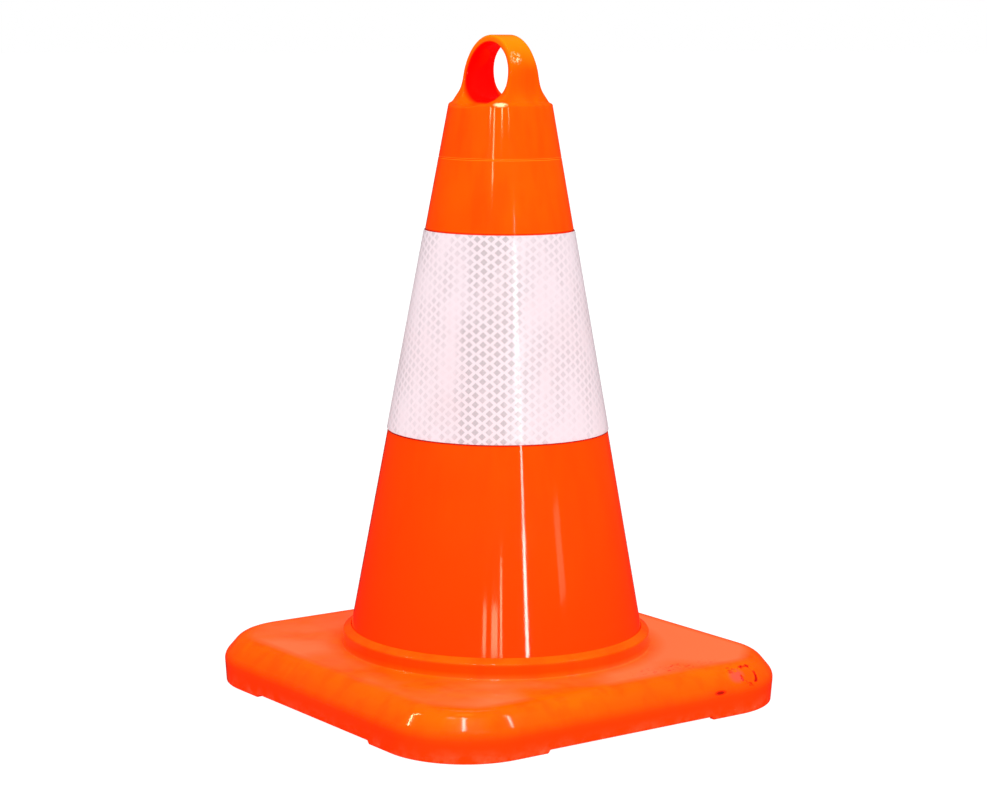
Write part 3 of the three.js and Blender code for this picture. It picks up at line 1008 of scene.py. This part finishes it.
def build_floor():
    """A white floor that glows, so that it is white to the camera, and that the gloss doesn't see."""
    size = 30
    mesh = bpy.data.meshes.new("floor")
    corners = [(-size, -size, 0), (size, -size, 0), (size, size, 0), (-size, size, 0)]
    mesh.from_pydata(corners, [], [(0, 1, 2, 3)])
    n = Nodes("floor_white")
    n.shader.inputs["Base Color"].default_value = (0.12, 0.12, 0.12, 1)
    n.shader.inputs["Emission Color"].default_value = (1, 1, 1, 1)
    n.shader.inputs["Emission Strength"].default_value = 1.0
    n.shader.inputs["Roughness"].default_value = 0.9
    n.shader.inputs["Specular IOR Level"].default_value = 0.0
    mesh.materials.append(n.material)
    floor = bpy.data.objects.new("floor", mesh)
    bpy.context.scene.collection.objects.link(floor)
    floor.visible_glossy = False


# The photo's viewpoint: a camera fitted to the cone's outline there. Angles are in radians.
CAMERA_DISTANCE = 1.91266
CAMERA_HEIGHT = 0.51104
CAMERA_LENS = 92.6
CAMERA_ASIDE = 0.0018
CAMERA_TILT_DOWN = 0.14623
CAMERA_ROLL = 0.0083


def build_camera():
    data = bpy.data.cameras.new("camera")
    data.sensor_width = 36
    data.lens = CAMERA_LENS
    data.clip_end = 100
    camera = bpy.data.objects.new("camera", data)
    bpy.context.scene.collection.objects.link(camera)
    place = (-CAMERA_DISTANCE * math.sin(VIEW_YAW), -CAMERA_DISTANCE * math.cos(VIEW_YAW), CAMERA_HEIGHT)
    heading = Matrix.Rotation(-VIEW_YAW + CAMERA_ASIDE, 4, "Z")
    tilt = Matrix.Rotation(math.pi / 2 - CAMERA_TILT_DOWN, 4, "X")
    roll = Matrix.Rotation(CAMERA_ROLL, 4, "Z")
    camera.matrix_world = Matrix.Translation(place) @ heading @ tilt @ roll
    bpy.context.scene.camera = camera


def link_light(name, data, place, aim, receivers=None):
    light = bpy.data.objects.new(name, data)
    light.location = place
    light.rotation_euler = (place - aim).to_track_quat("Z", "Y").to_euler()
    bpy.context.scene.collection.objects.link(light)
    if receivers:
        light.light_linking.receiver_collection = receivers
    return light


def gloss_light(name, receivers, bearing, low, high, width, radiance, distance=2.0, colour=(1, 1, 1)):
    """A rectangle that shows only as a reflection, and only on its receivers. Bearing is in degrees round
    the cone from the camera, positive to the camera's right; low and high are the heights of its edges."""
    angle = -VIEW_YAW + math.radians(bearing)
    middle = (low + high) / 2
    away = Vector((math.sin(angle), -math.cos(angle), 0)) * distance
    data = bpy.data.lights.new(name, "AREA")
    data.shape = "RECTANGLE"
    data.size = width
    data.size_y = high - low
    data.energy = radiance * math.pi * width * (high - low)
    data.color = colour
    place = away + Vector((0, 0, middle))
    light = link_light(name, data, place, Vector((0, 0, min(middle, 0.6))), receivers)
    light.visible_diffuse = False


def sun_light(name, bearing, elevation, strength, softness, receivers):
    """A sun softened over the given degrees of sky, which lights only its receivers and not their gloss."""
    angle = -VIEW_YAW + math.radians(bearing)
    rise = math.radians(elevation)
    away = Vector((math.sin(angle) * math.cos(rise), -math.cos(angle) * math.cos(rise), math.sin(rise)))
    data = bpy.data.lights.new(name, "SUN")
    data.energy = strength
    data.angle = math.radians(softness)
    light = link_light(name, data, away * 3, Vector(), receivers)
    light.visible_glossy = False


def background(tree, strength):
    node = tree.nodes.new("ShaderNodeBackground")
    node.inputs["Color"].default_value = (1, 1, 1, 1)
    node.inputs["Strength"].default_value = strength
    return node.outputs[0]


def build_world():
    """An even white surround that lights the object, white to the camera and nearly black in the gloss."""
    world = bpy.data.worlds.new("studio")
    bpy.context.scene.world = world
    world.use_nodes = True
    tree = world.node_tree
    tree.nodes.remove(tree.nodes["Background"])
    path = tree.nodes.new("ShaderNodeLightPath")
    surround = background(tree, 1.24)
    for ray, strength in (("Is Glossy Ray", 0.025), ("Is Camera Ray", 1.0)):
        mix = tree.nodes.new("ShaderNodeMixShader")
        tree.links.new(path.outputs[ray], mix.inputs[0])
        tree.links.new(surround, mix.inputs[1])
        tree.links.new(background(tree, strength), mix.inputs[2])
        surround = mix.outputs[0]
    tree.links.new(surround, tree.nodes["World Output"].inputs[0])


def collected(name, pieces):
    group = bpy.data.collections.new(name)
    for piece in pieces:
        group.objects.link(piece)
    return group


def build_studio(base_pieces, cone_pieces, sleeve):
    """The white surround, a key for the plastic, and lights that put each piece's highlights where the
    photo has them."""
    build_world()
    plastic = collected("plastic", base_pieces + cone_pieces)
    upright = collected("upright", cone_pieces + [sleeve])
    low = collected("low", base_pieces)
    band = collected("band", [sleeve])
    cream = (1, 0.92, 0.84)
    warm = (1.0, 0.72, 0.42)
    amber = (1.0, 0.55, 0.06)
    sun_light("key", 12, 55, 8.2, 40, plastic)
    gloss_light("tall_strip_foot", upright, 24, 0.20, 0.43, 0.08, 42, colour=cream)
    gloss_light("tall_strip", upright, 24, 0.43, 0.60, 0.045, 30, colour=cream)
    gloss_light("tall_strip_top", upright, 24, 0.60, 0.92, 0.03, 22, colour=cream)
    gloss_light("sleeve_strip", band, 21.5, 0.60, 0.95, 0.2, 18)
    gloss_light("cap_strip", upright, -13, 0.985, 1.13, 0.075, 26, colour=warm)
    gloss_light("ledge_strip_left", upright, -21.5, 1.08, 1.14, 0.08, 40, colour=warm)
    gloss_light("ledge_strip", upright, 3.6, 1.085, 1.15, 0.09, 32, colour=warm)
    gloss_light("ledge_strip_right", upright, 17.8, 1.08, 1.14, 0.055, 30, colour=warm)
    gloss_light("low_strip_left", upright, -8.7, 0.26, 0.335, 0.09, 14, colour=warm)
    gloss_light("low_panel", upright, -1, 0.26, 0.335, 0.17, 14, colour=warm)
    gloss_light("low_strip", upright, 4, 0.26, 0.40, 0.045, 26, colour=warm)
    gloss_light("side_panel", upright, 56, 0.26, 0.40, 0.2, 3.5, colour=warm)
    gloss_light("window_dim", low, -24, 1.55, 2.0, 0.55, 1.6, 0.9, amber)
    gloss_light("window_bright", low, -1, 1.6, 2.05, 0.12, 26, 0.9)
    gloss_light("window_corner", low, -30, 1.95, 2.03, 0.22, 26, 0.9)
    gloss_light("window_left", low, -88, 1.2, 1.6, 0.06, 60, 1.3, warm)
    gloss_light("window_right", low, 78, 1.45, 1.7, 0.035, 50, 1.3)
    gloss_light("overhead", plastic, 0, 1.95, 2.45, 0.5, 3.0, 0.15, amber)
    gloss_light("overhead_seam", upright, 0, 2.0, 2.5, 0.1, 9, 0.3, warm)
    bpy.context.scene.view_settings.view_transform = "Standard"


base_pieces = [build_base(), build_base_ribs(), build_flange_hooks()]
cone_pieces = [build_shell(), build_stacking_ribs(), build_cap()]
sleeve = build_sleeve()
build_floor()
build_camera()
build_studio(base_pieces, cone_pieces, sleeve)
